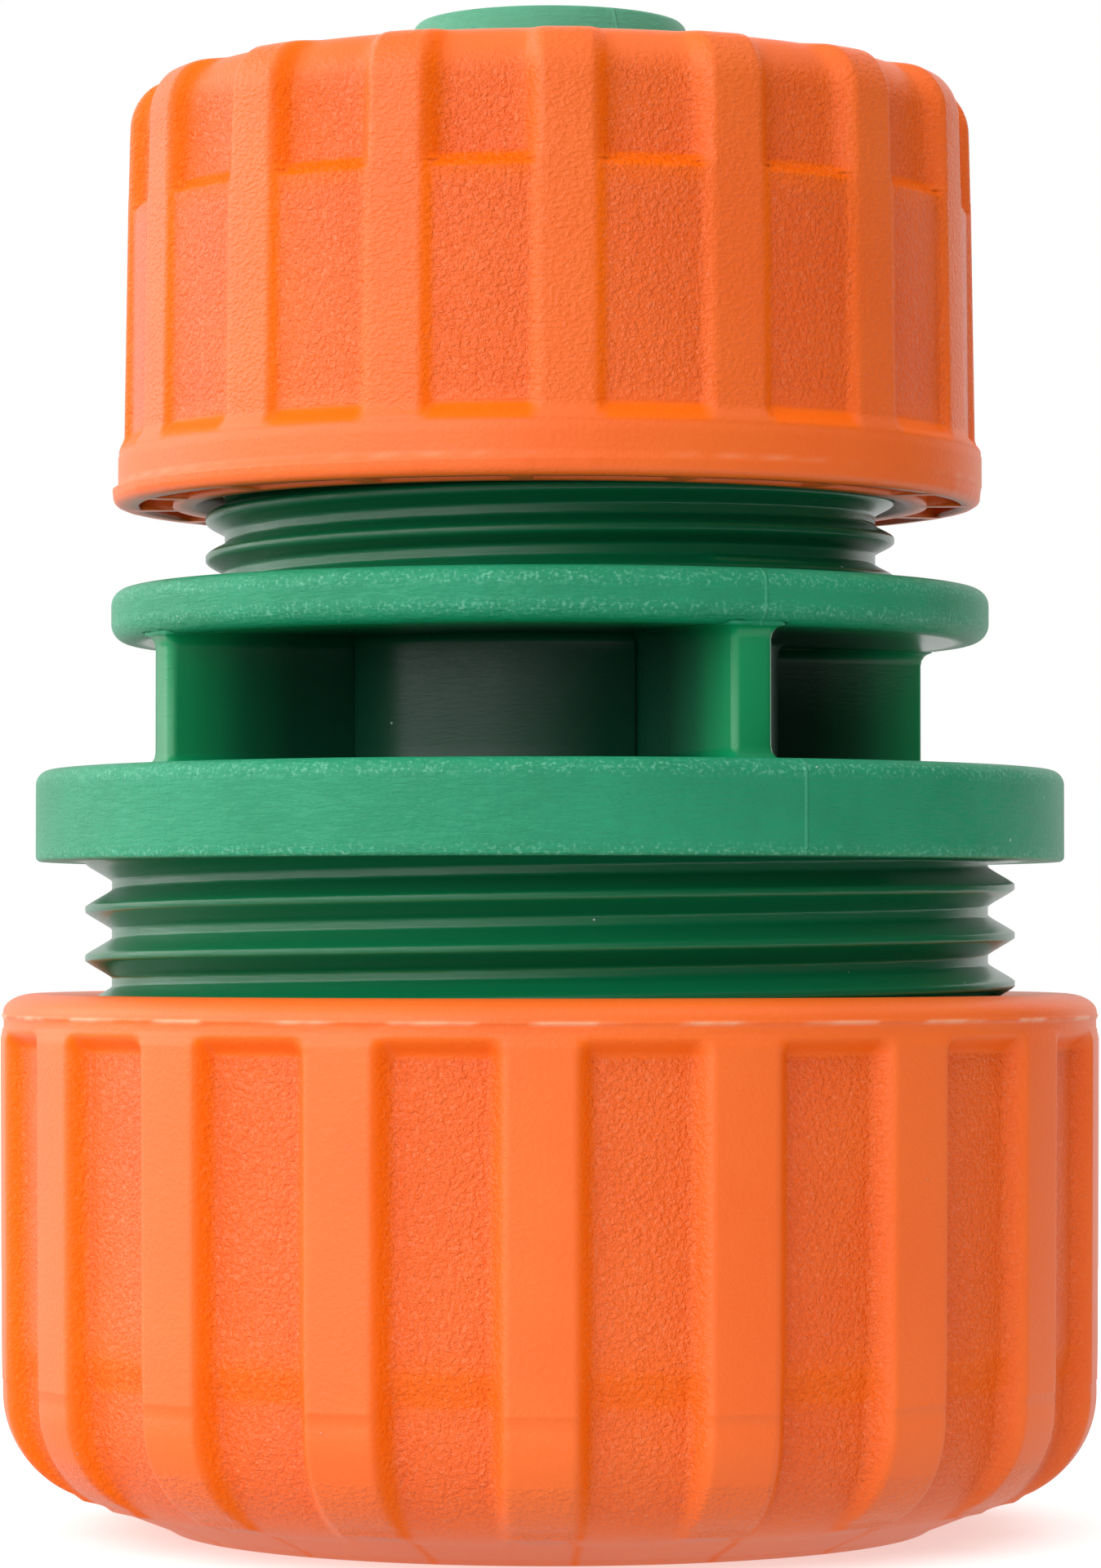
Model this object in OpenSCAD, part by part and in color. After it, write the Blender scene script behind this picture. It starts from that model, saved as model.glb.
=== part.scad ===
// Reducing hose mender: a green moulded body joins a small hose to a large one.
// Each end has a ringed tail inside a threaded collar with slotted claws,
// and an orange ribbed nut whose inner cone presses the claws onto the hose.
// Millimetres, +Z up, origin on the axis at the end face of the large nut.

/* [Hoses] */
// Inside diameter of the small hose
small_hose_id = 13; // [12.4:0.1:13.6]
// Outside diameter of the small hose
small_hose_od = 18.2; // [17.4:0.1:18.8]
// Inside diameter of the large hose
large_hose_id = 19.2; // [18.4:0.1:20]
// Outside diameter of the large hose
large_hose_od = 26; // [25:0.1:26.8]

/* [Flanges and webs] */
// Diameter of the core tube between the flanges
core_d = 17.2; // [16.4:0.1:18.4]
// Diameter of the flange at the small thread
small_flange_d = 33; // [31:0.1:35]
// Thickness of the flange at the small thread
small_flange_t = 2; // [1.6:0.1:3]
// Diameter of the flange at the large thread
large_flange_d = 38.6; // [37:0.1:40.6]
// Thickness of the flange at the large thread
large_flange_t = 3.4; // [2.6:0.1:4.4]
// Clear height between the two flanges
flange_gap = 4.8; // [4.2:0.1:8]
// Rounding of the flange edges
flange_edge = 0.6; // [0.3:0.1:0.8]
// Diameter across the ends of the webs
web_span_d = 31.8; // [28:0.1:32.4]
// Thickness of each web
web_t = 1.6; // [1.2:0.1:2.4]
// Direction of the first web, counted from +X
web_angle = 27; // [0:1:89]

/* [Threads] */
// Wall of the small nut from the thread's crests to the ribs' faces at mid-height
small_nut_wall = 2.975; // [2.8:0.025:3.2]
// Pitch of the small thread
small_pitch = 1.47; // [1.3:0.01:1.7]
// Depth of the small thread
small_thread_depth = 0.7; // [0.5:0.05:0.8]
// Length of the small thread from its flange
small_thread_len = 10.4; // [8.5:0.1:11.2]
// Wall of the large nut from the thread's crests to the ribs' faces at mid-height
large_nut_wall = 3.1; // [2.9:0.05:3.3]
// Pitch of the large thread
large_pitch = 1.81; // [1.6:0.01:2.1]
// Depth of the large thread
large_thread_depth = 1; // [0.7:0.05:1.1]
// Length of the large thread from its flange
large_thread_len = 13.4; // [11:0.1:14.8]
// Radial clearance between a nut's thread and the body's
thread_clear = 0.2; // [0.15:0.01:0.3]

/* [Tails and claws] */
// How far the small tail stands out of its nut
small_tail_out = 2.1; // [1:0.1:4]
// How far the large tail stops short of its nut's end face
large_tail_in = 0.8; // [0.4:0.1:3]
// Radius that the rings of a tail stretch the hose by
ring_grip = 0.1; // [0.05:0.01:0.2]
// Height of the rings on a tail
ring_h = 0.45; // [0.3:0.05:0.6]
// Number of rings on each tail
ring_count = 4; // [2:1:4]
// Bore diameter of the small tail
small_bore_d = 8.6; // [7.6:0.1:9]
// Bore diameter of the large tail
large_bore_d = 15; // [13:0.1:15.6]
// Radial room between a collar and the hose in it
collar_clear = 0.4; // [0.3:0.05:0.5]
// Thickness of a claw at its tip
claw_tip_t = 0.95; // [0.8:0.05:1.2]
// Depth of the teeth inside the claws
claw_tooth = 0.45; // [0.3:0.05:0.6]
// Number of claws on the small collar
small_claws = 6; // [4:1:8]
// Number of claws on the large collar
large_claws = 8; // [6:1:10]
// Width of the slots between the claws
claw_slot = 1.3; // [1:0.1:1.8]
// Radial room between the claws and the nut's cone with the nut slack
claw_clear = 0.4; // [0.35:0.05:0.6]

/* [Small nut] */
// Height of the small nut
small_nut_h = 16; // [15.4:0.1:18]
// Gap between the small nut's open face and its flange
small_rim_gap = 3.3; // [2.2:0.1:4]
// Diameter over the ribs at the open face
small_nut_d = 32.1; // [31.7:0.1:34]
// Diameter over the ribs at the closed end
small_nut_end_d = 31.6; // [31.2:0.1:31.8]
// Diameter of the rim at the open face
small_rim_d = 32.8; // [32.4:0.1:35]
// Number of ribs
small_ribs = 16; // [12:1:20]
// Direction of the first rib, counted from +X
small_rib_angle = -87.7; // [-100:0.1:-70]
// Width of a rib's outer face
small_rib_w = 2; // [1.4:0.1:2.6]
// Depth of the panels beside the thread
small_panel_depth = 0.3; // [0.2:0.05:0.4]
// Depth of the panels beside the cone
small_end_depth = 0.7; // [0.5:0.05:0.8]
// Width of the webs between the cored pockets
small_pocket_web = 0.9; // [0.7:0.1:1.4]
// Depth of the cored pockets
small_pocket_h = 8.6; // [5:0.1:9.4]

/* [Large nut] */
// Height of the large nut
large_nut_h = 20.1; // [19.6:0.1:22]
// Gap between the large nut's open face and its flange
large_rim_gap = 4.8; // [3:0.1:5.6]
// Diameter over the ribs at the open face
large_nut_d = 41.2; // [40.8:0.1:43]
// Diameter over the ribs at the closed end
large_nut_end_d = 41; // [40.6:0.1:41.2]
// Number of ribs
large_ribs = 18; // [14:1:22]
// Direction of the first rib, counted from +X
large_rib_angle = -90.8; // [-100:0.1:-70]
// Width of a rib's outer face
large_rib_w = 2.4; // [1.6:0.1:3.2]
// Depth of the panels beside the thread
large_panel_depth = 0.75; // [0.4:0.05:0.9]
// Depth of the panels beside the cone
large_end_depth = 0.95; // [0.9:0.05:1.1]

/* [Hidden] */
$fn = 96;
GREEN = [0.16, 0.58, 0.38];
ORANGE = [0.96, 0.42, 0.13];

// How deep joined solids reach into each other
sink = 0.5;
// How far cuts run past the faces that they open
past = 1;

// Heights, counted up from the large nut's end face
large_face_z = large_nut_h + large_rim_gap;
large_flange_top_z = large_face_z + large_flange_t;
small_flange_low_z = large_flange_top_z + flange_gap;
small_face_z = small_flange_low_z + small_flange_t;
small_nut_z = small_face_z + small_rim_gap;
small_tail_len = small_rim_gap + small_nut_h + small_tail_out;
large_tail_len = large_rim_gap + large_nut_h - large_tail_in;

// Shape of the threads: where the first ridge stands, in pitches, and its crest and base widths
small_first = 1.0;
large_first = 0.75;
crest_share = 0.2;
base_share = 0.85;

// Shape of the tails: the cone that leads into the hose, and the rings
small_lead = 3.5;
large_lead = 3.2;
small_tip_r = small_bore_d / 2 + 0.8;
large_tip_r = large_bore_d / 2 + 0.8;
small_ring_pitch = 3;
large_ring_pitch = 3.6;
ring_flat = 1.1;
ring_slope = 1.6;

// Conical change of the bore, from inside the large flange to just past the small one
cone_low_z = large_face_z - 1.9;
cone_top_z = small_face_z + 1;

// Radii of the hose mouths in the nuts, and the slope of the cones behind them
mouth_clear = 0.25;
small_mouth_r = small_hose_od / 2 + mouth_clear;
large_mouth_r = large_hose_od / 2 + mouth_clear;
small_mouth_h = 1.6;
large_mouth_h = 2.5;
cone_slope = 0.6;
mouth_edge = 0.3;

// Outside diameters of the threads, which leave the nuts their walls
small_thread_d = (small_nut_d + small_nut_end_d) / 2 - 2 * small_nut_wall;
large_thread_d = (large_nut_d + large_nut_end_d) / 2 - 2 * large_nut_wall;

// Insides of the collars
small_collar_r = small_hose_od / 2 + collar_clear;
large_collar_r = large_hose_od / 2 + collar_clear;
small_core_r = small_thread_d / 2 - small_thread_depth;
large_core_r = large_thread_d / 2 - large_thread_depth;

// Heights in the nuts, counted from their open faces, at which the inner cones start
small_cone_z = small_nut_h - small_mouth_h - (small_core_r + thread_clear - small_mouth_r) / cone_slope;
large_cone_z = large_nut_h - large_mouth_h - (large_core_r + thread_clear - large_mouth_r) / cone_slope;

// Shape of the small nut's outside
small_lip_h = 0.3;
small_lip_step = 0.15;
small_rim_h = 1.8;
small_ledge_z = small_nut_h - 5;
small_bend_r = 1.85;
small_end_edge = 12.7;
small_pocket_in_r = small_thread_d / 2 + thread_clear + 1.05;
small_pocket_wall = 0.75;
small_skirt_wall = 0.9;
small_pocket_turn = -6.3;

// Shape of the large nut's outside
large_rim_edge = 0.5;
large_rim_h = 1.5;
large_ledge_z = large_nut_h - 6.5;
large_bend_r = 3.95;
large_bend_z = large_nut_h - 5.15;
large_dome_r = 4.2;
large_dome_z = large_nut_h - 5;
large_dome_end = 76;
large_foot_end = 80;
large_ring_w = 0.85;
rib_flare = 0.45;

// Points along an arc from angle a to angle b
function arc(x, y, r, a, b, n = 8) = [for (i = [0:n]) let (t = a + (b - a) * i / n) [x + r * cos(t), y + r * sin(t)]];

// Number of ridges on a thread of this length
function ridges(len, pitch, first) = floor(len / pitch - first) + 1;

// Half section of one annular ridge, centred at height z, drawn out from radius core
module ridge_section(z, core, depth, pitch) {
    base = base_share * pitch;
    crest = crest_share * pitch;
    polygon([
        [core - sink, z - base / 2], [core, z - base / 2], [core + depth, z - crest / 2],
        [core + depth, z + crest / 2], [core, z + base / 2], [core - sink, z + base / 2]
    ]);
}

// Half section of all the ridges of a thread, counted from its flange at height shift
module thread_section(core, depth, pitch, len, first, shift) {
    for (i = [0 : ridges(len, pitch, first) - 1])
        ridge_section(shift + (first + i) * pitch, core, depth, pitch);
}

// Half section of a ringed tail that stands on its flange at height 0
module tail_section(crest, tip, len, lead, pitch) {
    root = crest - ring_h;
    translate([0, -sink]) square([root, len - lead + sink]);
    polygon([[0, len - lead - ring_flat], [crest, len - lead - ring_flat], [crest, len - lead], [tip, len], [0, len]]);
    for (i = [1 : ring_count - 1])
        translate([0, len - lead - i * pitch])
            polygon([[0, -ring_flat], [crest, -ring_flat], [crest, 0], [root, ring_slope], [0, ring_slope]]);
}

// Half section of a collar and its claws, with the claws' backs parallel to the nut's cone
module collar_section(inside, core, cone_z) {
    back_z = cone_z - (claw_clear - thread_clear) / cone_slope;
    tip_z = back_z + (core - inside - claw_tip_t) / cone_slope;
    polygon([[inside, -sink], [core, -sink], [core, back_z], [inside + claw_tip_t, tip_z], [inside, tip_z]]);
    for (i = [0:1])
        translate([inside, tip_z - i * 2 * claw_tooth])
            polygon([[sink, 0], [-claw_tooth, 0], [0, -2 * claw_tooth], [sink, -2 * claw_tooth]]);
}

// Radial slots that part a collar into claws
module claw_slots(count, inside, outside, low, high) {
    for (i = [0 : count - 1])
        rotate((i + 0.5) * 360 / count)
            translate([inside, -claw_slot / 2, low])
                cube([outside - inside, claw_slot, high - low]);
}

// One end of the body, standing on its flange at height 0
module hose_end(crest, tip, tail_len, lead, ring_pitch, inside, core, depth, pitch, len, first, cone_z, claws) {
    difference() {
        rotate_extrude() {
            tail_section(crest, tip, tail_len, lead, ring_pitch);
            collar_section(inside, core, cone_z);
            thread_section(core, depth, pitch, len, first, 0);
        }
        claw_slots(claws, inside - claw_tooth - 0.1, core + past, len + pitch / 2, tail_len);
    }
}

// Half section of a flange from height low to high, with its free edges rounded
module flange_section(r, low, high, low_edge, high_edge) {
    polygon(concat(
        [[0, low]],
        low_edge > 0 ? arc(r - low_edge, low + low_edge, low_edge, -90, 0, 4) : [[r, low]],
        high_edge > 0 ? arc(r - high_edge, high - high_edge, high_edge, 0, 90, 4) : [[r, high]],
        [[0, high]]
    ));
}

// Four webs that tie the flanges together round the core
module webs() {
    for (i = [0:3])
        rotate(web_angle + i * 90)
            translate([0, -web_t / 2, large_flange_top_z - sink])
                cube([web_span_d / 2, web_t, flange_gap + 2 * sink]);
}

// Water way through both tails, with its conical change of width
module bore() {
    rotate_extrude()
        polygon([
            [0, -past], [large_bore_d / 2, -past], [large_bore_d / 2, cone_low_z],
            [small_bore_d / 2, cone_top_z], [small_bore_d / 2, small_face_z + small_tail_len + past],
            [0, small_face_z + small_tail_len + past]
        ]);
}

module body() {
    color(GREEN)
        difference() {
            union() {
                rotate_extrude() {
                    flange_section(large_flange_d / 2, large_face_z, large_flange_top_z, 0, flange_edge);
                    flange_section(small_flange_d / 2, small_flange_low_z, small_face_z, flange_edge, flange_edge);
                    translate([0, large_face_z]) square([core_d / 2, small_face_z - large_face_z]);
                }
                webs();
                translate([0, 0, small_face_z])
                    hose_end(
                        small_hose_id / 2 + ring_grip, small_tip_r, small_tail_len, small_lead, small_ring_pitch,
                        small_collar_r, small_core_r, small_thread_depth, small_pitch, small_thread_len,
                        small_first, small_rim_gap + small_cone_z, small_claws
                    );
                translate([0, 0, large_face_z])
                    rotate([180, 0, 0])
                        hose_end(
                            large_hose_id / 2 + ring_grip, large_tip_r, large_tail_len, large_lead, large_ring_pitch,
                            large_collar_r, large_core_r, large_thread_depth, large_pitch, large_thread_len,
                            large_first, large_rim_gap + large_cone_z, large_claws
                        );
            }
            bore();
        }
}

// Space inside a nut that stands on its open face: thread, cone and hose mouth
module nut_cavity(core, depth, pitch, len, first, gap, cone_z, mouth, height) {
    inner = core + thread_clear;
    rotate_extrude() {
        translate([0, -past]) square([inner, cone_z + past]);
        translate([0, -past]) square([inner + depth + 0.1, pitch / 2 + past]);
        thread_section(inner, depth, pitch, len, first, -gap);
        polygon([
            [0, cone_z - sink], [inner, cone_z - sink], [inner, cone_z],
            [mouth, cone_z + (inner - mouth) / cone_slope], [mouth, height - mouth_edge],
            [mouth + mouth_edge + past, height + past], [0, height + past]
        ]);
    }
}

// Tapered prisms that a nut's ribs are cut from
module rib_prisms(count, angle, inside, panel, outside, width, height) {
    for (i = [0 : count - 1])
        rotate(angle + i * 360 / count)
            linear_extrude(height)
                polygon([
                    [inside, -width / 2 - rib_flare], [panel, -width / 2 - rib_flare], [outside, -width / 2],
                    [outside, width / 2], [panel, width / 2 + rib_flare], [inside, width / 2 + rib_flare]
                ]);
}

// Half section of the small nut between its ribs
module small_panel_section() {
    rim = small_rim_d / 2;
    panel = small_nut_d / 2 - small_panel_depth;
    end = small_nut_end_d / 2 - small_end_depth;
    top_edge = small_nut_end_d / 2 - small_bend_r;
    polygon(concat(
        [
            [0, 0], [rim, 0], [rim, small_lip_h], [rim - small_lip_step, small_lip_h + 0.05],
            [rim - small_lip_step - 0.05, small_rim_h], [panel, small_rim_h + 0.5],
            [panel - 0.05, small_ledge_z], [end + 0.1, small_ledge_z + 0.4]
        ],
        arc(end - small_bend_r, small_nut_h - small_bend_r - 0.15, small_bend_r, 0, 90),
        [[small_end_edge, small_nut_h], [0, small_nut_h]]
    ));
}

// Half section of the small nut's ribs, which bend over its closed end
module small_rib_section() {
    end = small_nut_end_d / 2;
    inside = small_end_edge + 0.2;
    polygon(concat(
        [[inside, small_rim_h - 0.5], [small_nut_d / 2, small_rim_h - 0.5]],
        arc(end - small_bend_r, small_nut_h - small_bend_r, small_bend_r, 0, 90),
        [[inside, small_nut_h]]
    ));
}

// Pockets cored out of the small nut's open face, between radial webs
module small_pockets() {
    mouth = small_rim_d / 2 - small_skirt_wall;
    deep = small_nut_d / 2 - small_panel_depth - small_pocket_wall;
    difference() {
        rotate_extrude()
            polygon([
                [small_pocket_in_r, -past], [mouth, -past], [mouth, 0], [deep, small_rim_h],
                [deep - 0.05, small_pocket_h], [small_pocket_in_r, small_pocket_h]
            ]);
        for (i = [0 : small_ribs - 1])
            rotate(small_rib_angle + small_pocket_turn + i * 360 / small_ribs)
                translate([small_pocket_in_r - 1, -small_pocket_web / 2, -2 * past])
                    cube([4, small_pocket_web, small_pocket_h + 3 * past]);
    }
}

module small_nut() {
    color(ORANGE)
        translate([0, 0, small_nut_z])
            difference() {
                union() {
                    rotate_extrude() small_panel_section();
                    intersection() {
                        rotate_extrude() small_rib_section();
                        rib_prisms(
                            small_ribs, small_rib_angle, small_end_edge - 1,
                            small_nut_end_d / 2 - small_end_depth, small_rim_d / 2, small_rib_w, small_nut_h + past
                        );
                    }
                }
                nut_cavity(
                    small_core_r, small_thread_depth, small_pitch, small_thread_len, small_first,
                    small_rim_gap, small_cone_z, small_mouth_r, small_nut_h
                );
                small_pockets();
            }
}

// Half section of the large nut between its ribs
module large_panel_section() {
    rim = large_nut_d / 2 - 0.05;
    panel = large_nut_d / 2 - large_panel_depth;
    end = large_nut_end_d / 2 - large_end_depth;
    ring = large_mouth_r + large_ring_w;
    polygon(concat(
        [
            [0, 0], [rim - large_rim_edge, 0], [rim, large_rim_edge], [rim - 0.05, large_rim_h],
            [panel, large_rim_h + 0.5], [panel - 0.1, large_ledge_z], [end, large_ledge_z + 0.5]
        ],
        arc(end - large_dome_r, large_dome_z, large_dome_r, 0, large_dome_end),
        [[ring, large_nut_h], [0, large_nut_h]]
    ));
}

// Half section of the large nut's ribs, which bend in over its closed end
module large_rib_section() {
    end = large_nut_end_d / 2;
    inside = end - large_bend_r;
    polygon(concat(
        [[inside, large_rim_h - 0.5], [large_nut_d / 2, large_rim_h - 0.5]],
        arc(inside, large_bend_z, large_bend_r, 0, large_foot_end),
        [[inside, large_bend_z + large_bend_r - 0.6]]
    ));
}

module large_nut() {
    color(ORANGE)
        translate([0, 0, large_nut_h])
            rotate([180, 0, 0])
                difference() {
                    union() {
                        rotate_extrude() large_panel_section();
                        intersection() {
                            rotate_extrude() large_rib_section();
                            rib_prisms(
                                large_ribs, -large_rib_angle, large_nut_end_d / 2 - large_bend_r - 1,
                                large_nut_end_d / 2 - large_end_depth, large_nut_d / 2, large_rib_w,
                                large_nut_h + past
                            );
                        }
                    }
                    nut_cavity(
                        large_core_r, large_thread_depth, large_pitch, large_thread_len, large_first,
                        large_rim_gap, large_cone_z, large_mouth_r, large_nut_h
                    );
                }
}

body();
small_nut();
large_nut();
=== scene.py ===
# %% [markdown]
# A reducing hose mender, seen standing on its large nut.
# It has three mouldings: a green body with a threaded collar at each end, and two orange ribbed nuts.
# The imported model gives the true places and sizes, and each moulding is remade here as a finer mesh
# with true helical threads, soft mould radii, flash along the parting lines and a moulded finish.

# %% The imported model
import math

import bpy
import numpy as np
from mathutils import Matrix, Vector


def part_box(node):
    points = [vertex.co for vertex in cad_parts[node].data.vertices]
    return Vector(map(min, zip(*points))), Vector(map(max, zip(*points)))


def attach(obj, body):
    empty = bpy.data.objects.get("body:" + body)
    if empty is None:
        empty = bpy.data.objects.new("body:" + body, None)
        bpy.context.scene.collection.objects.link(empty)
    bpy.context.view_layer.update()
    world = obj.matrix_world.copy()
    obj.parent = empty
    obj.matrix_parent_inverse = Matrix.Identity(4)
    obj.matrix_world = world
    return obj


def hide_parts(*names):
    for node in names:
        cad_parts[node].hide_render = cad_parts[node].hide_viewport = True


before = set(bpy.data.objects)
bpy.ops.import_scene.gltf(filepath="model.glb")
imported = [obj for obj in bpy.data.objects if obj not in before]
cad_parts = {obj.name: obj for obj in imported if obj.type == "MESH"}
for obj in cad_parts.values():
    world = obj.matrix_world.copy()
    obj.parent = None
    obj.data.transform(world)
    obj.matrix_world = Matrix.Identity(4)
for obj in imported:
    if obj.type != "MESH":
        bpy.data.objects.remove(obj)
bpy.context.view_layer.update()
print("pieces to dress:", sorted(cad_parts))

# %% [markdown]
# Lengths are written in millimetres, as on a drawing, and turned to metres where a mesh is made.
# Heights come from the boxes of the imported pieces, so each mesh lands where its solid is.

# %% Units and heights
MM = 0.001
TURN = 2 * math.pi
LARGE_THREAD_SEEN = 4.8
LARGE_FLANGE_H = 3.4
GAP_H = 4.8
SMALL_FLANGE_H = 2.0


def low_mm(node):
    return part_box(node)[0][2] / MM


def high_mm(node):
    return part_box(node)[1][2] / MM


def radius_mm(node):
    low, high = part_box(node)
    return max(high[0] - low[0], high[1] - low[1]) / 2 / MM


large_nut_top = high_mm("large_nut")
small_nut_low = low_mm("small_nut")
small_nut_top = high_mm("small_nut")
tail_top = high_mm("body")
tail_low = low_mm("body")
large_flange_r = radius_mm("body")
large_face = large_nut_top + LARGE_THREAD_SEEN
large_flange_top = large_face + LARGE_FLANGE_H
small_flange_low = large_flange_top + GAP_H
small_face = small_flange_low + SMALL_FLANGE_H
print("large nut", round(large_nut_top, 2), "mm high")
print("small nut", round(small_nut_top - small_nut_low, 2), "mm high")

# %% [markdown]
# The camera stands about 215 mm from the axis, 22 mm above the table, and looks up by a degree and a half.
# That is where the ellipses of the flanges and nut rims in the picture put it.
# The lens is given for the long side of the picture, which is 1920 pixels high.

# %% Camera
PICTURE_H = 1920
FOCAL_PX = 7000
CAMERA_AWAY = 215.4
CAMERA_H = 22.1
CAMERA_RIGHT = 0.02
LOOK_UP = 1.527

camera_data = bpy.data.cameras.new("camera")
camera_data.sensor_width = 36
camera_data.lens = camera_data.sensor_width * FOCAL_PX / PICTURE_H
camera_data.clip_start = 0.01
camera_data.clip_end = 10
camera = bpy.data.objects.new("camera", camera_data)
camera.location = (CAMERA_RIGHT * MM, -CAMERA_AWAY * MM, CAMERA_H * MM)
camera.rotation_euler = (math.radians(90 + LOOK_UP), 0, 0)
bpy.context.scene.collection.objects.link(camera)
bpy.context.scene.camera = camera
print("lens", round(camera_data.lens, 1), "mm")

# %% [markdown]
# A turned or moulded round piece can be made as rows of points carried round the axis.
# The half section is a closed path, so the sweep closes on itself in both ways and makes a sealed skin.
# That keeps every edge under control and needs no clean-up, which a chain of cuts would.

# %% Sweeping a closed half section
def smooth(t):
    t = np.clip(t, 0, 1)
    return t * t * (3 - 2 * t)


def swept_mesh(name, radius, height, turn, marks=None):
    """Closed skin from grids of radius and height in mm, rows by columns, and the columns' angles."""
    rows, columns = radius.shape
    turn = np.broadcast_to(turn, radius.shape)
    points = np.stack([radius * np.cos(turn), radius * np.sin(turn), height], -1).reshape(-1, 3) * MM
    row = np.arange(rows)[:, None]
    column = np.arange(columns)[None, :]
    next_row = (row + 1) % rows
    next_column = (column + 1) % columns
    corners = [row * columns + column, row * columns + next_column]
    corners += [next_row * columns + next_column, next_row * columns + column]
    faces = np.stack([np.broadcast_to(c, (rows, columns)) for c in corners], -1).reshape(-1, 4)
    mesh = bpy.data.meshes.new(name)
    mesh.from_pydata(points.tolist(), [], faces.tolist())
    for mark, values in (marks or {}).items():
        layer = mesh.attributes.new(mark, "FLOAT", "POINT")
        layer.data.foreach_set("value", np.broadcast_to(values, (rows, columns)).astype(np.float32).ravel())
    mesh.polygons.foreach_set("use_smooth", [True] * len(mesh.polygons))
    mesh.update()
    piece = bpy.data.objects.new(name, mesh)
    bpy.context.scene.collection.objects.link(piece)
    return piece


def line(a, b, count):
    """Points from a up to, but without, b."""
    t = np.arange(count)[:, None] / count
    return np.array(a) + t * (np.array(b) - np.array(a))


def bend(x, y, r, start, end, count):
    """Points round a corner from one angle to another, in degrees, without the last."""
    t = np.radians(start + (end - start) * np.arange(count) / count)
    return np.stack([x + r * np.cos(t), y + r * np.sin(t)], -1)


def ripple(turn, seed, waves, size):
    """Uneven hand of the mould along a rim: a few waves of random height and place."""
    draw = np.random.default_rng(seed)
    total = np.zeros_like(turn)
    for count in waves:
        total = total + draw.normal() * np.sin(count * turn + draw.uniform(0, TURN)) / math.sqrt(len(waves))
    return total * size


# %% [markdown]
# Each nut carries grip ribs. On the real moulding a rib's sides slope so that it leaves the mould,
# its edges are softly rounded, and it bends over the closed end and dies out there.
# One path is followed on the ribs and one in the panels, and each column of points is a mix of the two.
# Columns crowd at the ribs' edges, where the form changes, and thin out on the flats.

# %% Rib pattern round a nut
SMALL_PITCH = 1.47
LARGE_PITCH = 1.81


def rib_columns(count, first, face, side, radius):
    """Angles of the columns and how far each stands from its rib's middle line, in mm."""
    pitch = TURN * radius / count
    half = np.concatenate([
        np.array([0.0, 0.5, 0.85]) * (face / 2 - 0.12),
        np.linspace(face / 2 - 0.12, face / 2 + side + 0.12, 9),
        face / 2 + side + 0.12 + (pitch / 2 - face / 2 - side - 0.12) * np.array([0.3, 0.65]),
    ])
    away = np.concatenate([-half[:0:-1], half, [pitch / 2]])
    angles = [math.radians(first) + TURN * i / count + away / radius for i in range(count)]
    return np.concatenate(angles), np.tile(away, count)


def rib_rise(away, face, side, width_share):
    """1 on a rib's face and 0 in the panels, with sides that keep their slope as the rib gets narrower."""
    return smooth((face / 2 * width_share + side - np.abs(away)) / side)


def rows_of(*stretches):
    return np.concatenate(stretches)


def nut_inside(core, depth, pitch, hand, mouth, mouth_h, height, turn, entry):
    """Rows down the inside of a nut, from the hose mouth to the open face: mouth, cone and helical thread.
    The thread's crests stop just short of the body's, so that the nut clears them at any angle.
    The hand is -1 for a nut that is made upside down and turned over when it is done."""
    slope = 0.6
    inner = core + depth + 0.06
    cone_top = height - mouth_h
    cone_low = cone_top - (inner - mouth) / slope
    plain = rows_of(
        line((mouth, height - 0.3), (mouth, cone_top), 4),
        line((mouth, cone_top), (inner, cone_low), 8),
    )
    z = np.linspace(cone_low, entry, 46)
    groove = np.abs(((z[:, None] / pitch - turn[None, :] * hand / TURN) % 1) - 0.5) * 2
    fade = smooth((z - entry) / 0.6)[:, None] * smooth((cone_low - z) / 0.8)[:, None]
    radius = inner + 0.55 * smooth((groove - 0.25) / 0.6) * fade
    radius_rows = np.concatenate([np.broadcast_to(plain[:, :1], (len(plain), len(turn))), radius])
    height_rows = np.concatenate([plain[:, 1], z])
    return radius_rows, height_rows[:, None] + np.zeros_like(turn)[None, :]


# %% [markdown]
# The large nut stands on a thin ring round its hose mouth. From there a shallow dome runs out and bends up
# into the side. Its panels are stepped in a little more beside the cone than beside the thread.
# Its open rim is rounded, with a line of flash where the two halves of the mould met.

# %% Large nut
# Share of the painted glow on the rib sides that face the softbox.
SIDE_PAINTED_GLOW_LIT = 0.2


def nut_marks(rise, away, depth, ledges, ledge_painted_glow, grain_from, grain_to, hidden_rows):
    """Masks for the plastic: where the mould was grained, and where a painted glow in a purer orange stands for
    light coming out through sides and ledges.
    Only the sides that face away from the softbox get the painted glow in full."""
    low = 1 - rise
    inside = smooth((depth - grain_from) / 0.3) * smooth((grain_to - depth) / 1.5)
    ledge = np.zeros_like(depth)
    for start, end in ledges:
        middle, half = (start + end) / 2, (end - start) / 2
        ledge = np.maximum(ledge, smooth((half * 1.3 - np.abs(depth - middle)) / (half * 0.6)))
    below_rim = smooth((depth - grain_from + 0.6) / 0.3)[:, None]
    sides = (4 * np.clip(rise * (1 - rise), 0, 0.25)) ** 0.6 * np.where(away > 0, 1, SIDE_PAINTED_GLOW_LIT)
    lamp_and_painted_glow = np.maximum(sides * below_rim, low * ledge_painted_glow * ledge[:, None])
    hidden = np.zeros((hidden_rows, rise.shape[1]))
    masks = {"grain": low * inside[:, None], "lamp_and_painted_glow": lamp_and_painted_glow, "worn": np.zeros_like(rise)}
    return {name: np.concatenate([values, hidden]) for name, values in masks.items()}


LARGE_RIBS = 18
LARGE_FACE = 2.25
LARGE_SIDE = 0.75
LARGE_RIM_R = 20.5
LARGE_SEAM_R = 20.54


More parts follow.
